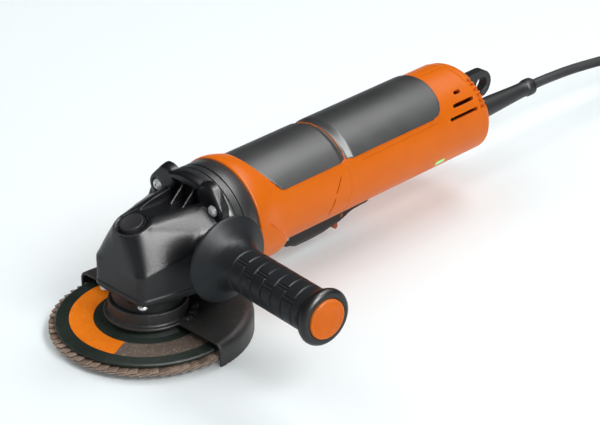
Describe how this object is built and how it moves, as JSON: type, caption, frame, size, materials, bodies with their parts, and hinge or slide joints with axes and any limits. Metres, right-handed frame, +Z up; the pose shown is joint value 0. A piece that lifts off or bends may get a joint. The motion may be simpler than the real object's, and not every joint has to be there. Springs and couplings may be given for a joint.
{
  "type": "angle grinder",
  "caption": "Corded angle grinder with a paddle switch, turning guard, flap disc, side handle and hanging eye, its lead coiled beside it.",
  "frame": {"origin": "on the standing surface, at the middle of the tool in X and Y, measured without the free lead", "axes": "+X from the gear case to the rear of the handle, +Y to the operator's right, away from the side handle, +Z up"},
  "size_m": [0.6115, 0.2116, 0.0949],
  "materials": {
    "case_black": "fine leather-grain powder coat on die-cast aluminium",
    "screw_steel": "bright zinc plated",
    "bronze": "sintered bronze",
    "button_black": "smooth black nylon",
    "spring_steel": "drawn spring wire",
    "bearing_steel": "ground bearing steel",
    "ground_steel": "ground steel",
    "gear_steel": "machined case-hardened steel with grease",
    "nut_steel": "dark phosphated steel",
    "backing_green": "dark green-black glass-fibre backing",
    "flap_brown": "resin-coated abrasive cloth, brown grain with pale cut edges",
    "label_orange": "matt printed paper, plain",
    "guard_black": "satin black coated sheet steel",
    "plate_black": "fine-grained black glass-filled nylon",
    "fan_black": "moulded nylon",
    "lamination_steel": "stacked electrical steel",
    "magnet_grey": "coated magnet ring",
    "winding_copper": "enamelled copper windings in a steel stack",
    "housing_orange": "satin orange glass-filled nylon",
    "grip_grey": "dark grey soft-touch elastomer",
    "dark_steel": "black oxide",
    "potting_green": "potted circuit board",
    "lens_green": "clear green light window",
    "paddle_black": "satin black nylon",
    "lever_orange": "dark orange nylon",
    "eye_black": "black nylon",
    "lead_black": "black rubber sheath",
    "core_black": "black nylon",
    "handle_grip": "dark charcoal soft-touch elastomer",
    "cap_orange": "satin orange nylon",
    "plug_black": "moulded black plug"
  },
  "bodies": {
    "tool": {"gear_case": "case_black", "gear_case_screws": "screw_steel", "case_bush": "bronze", "lock_button_spring": "spring_steel", "bearing_flange": "case_black", "bearing_flange_screws": "screw_steel", "spindle_bearing": "bearing_steel", "gearbox_plate": "plate_black", "front_motor_bearing": "bearing_steel", "stator": "winding_copper", "rear_motor_bearing": "bearing_steel", "motor_housing": "housing_orange", "front_grip_pad": "grip_grey", "handle_shell_left": "housing_orange", "handle_shell_right": "housing_orange", "handle_screws": "dark_steel", "rear_grip_pad": "grip_grey", "electronics_module": "potting_green", "switch_block": "button_black", "status_lens": "lens_green", "paddle_pin": "ground_steel", "paddle_spring": "spring_steel", "hanging_eye": "eye_black", "strain_relief": "lead_black", "side_handle_stud": "ground_steel", "side_handle_core": "core_black", "side_handle_grip": "handle_grip", "side_handle_cap": "cap_orange", "lead_tube": "lead_black", "lead_coil": "lead_black", "coil_tie": "core_black", "lead_tail": "lead_black", "plug_body": "plug_black", "plug_pins": "ground_steel"},
    "wheel": {"spindle": "ground_steel", "crown_wheel": "gear_steel", "inner_flange": "ground_steel", "clamping_nut": "nut_steel", "disc_backing": "backing_green", "disc_flaps": "flap_brown", "disc_label": "label_orange"},
    "rotor": {"pinion": "gear_steel", "rotor_shaft": "ground_steel", "fan": "fan_black", "rotor_core": "lamination_steel", "rotor_magnets": "magnet_grey"},
    "guard": {"guard": "guard_black"},
    "lock_button": {"lock_button": "button_black"},
    "paddle": {"paddle": "paddle_black"},
    "lock_off_lever": {"lock_off_lever": "lever_orange"}
  },
  "joints": [
    {"name": "spindle_spin", "type": "hinge", "parent": "tool", "child": "wheel", "pos_m": [-0.1495, 0.04063, 0.0122], "axis": [0, 0, 1], "continuous": true},
    {"name": "rotor_spin", "type": "hinge", "parent": "tool", "child": "rotor", "pos_m": [-0.0695, 0.04063, 0.057], "axis": [1, 0, 0], "continuous": true},
    {"name": "guard_turn", "type": "hinge", "parent": "tool", "child": "guard", "pos_m": [-0.1495, 0.04063, 0.0158], "axis": [0, 0, 1], "range_deg": [-90, 90]},
    {"name": "lock_button_press", "type": "slide", "parent": "tool", "child": "lock_button", "axis": [0, 0, -1], "range_m": [0, 0.003], "stiffness_N_per_m": 800, "springref_m": -0.002, "deforming": ["lock_button_spring"]},
    {"name": "paddle_squeeze", "type": "hinge", "parent": "tool", "child": "paddle", "pos_m": [-0.0405, 0.04063, 0.025], "axis": [0, -1, 0], "range_deg": [0, 4], "stiffness_Nm_per_rad": 4, "springref_deg": -2.86, "deforming": ["paddle_spring"]},
    {"name": "lock_off_tip", "type": "hinge", "parent": "paddle", "child": "lock_off_lever", "pos_m": [0.0095, 0.04063, 0.0226], "axis": [0, 1, 0], "range_deg": [0, 25], "stiffness_Nm_per_rad": 0.2, "springref_deg": -5.73}
  ],
  "couplings": [
    {"joint": "rotor_spin", "follows": "spindle_spin", "ratio": 3.0833}
  ]
}
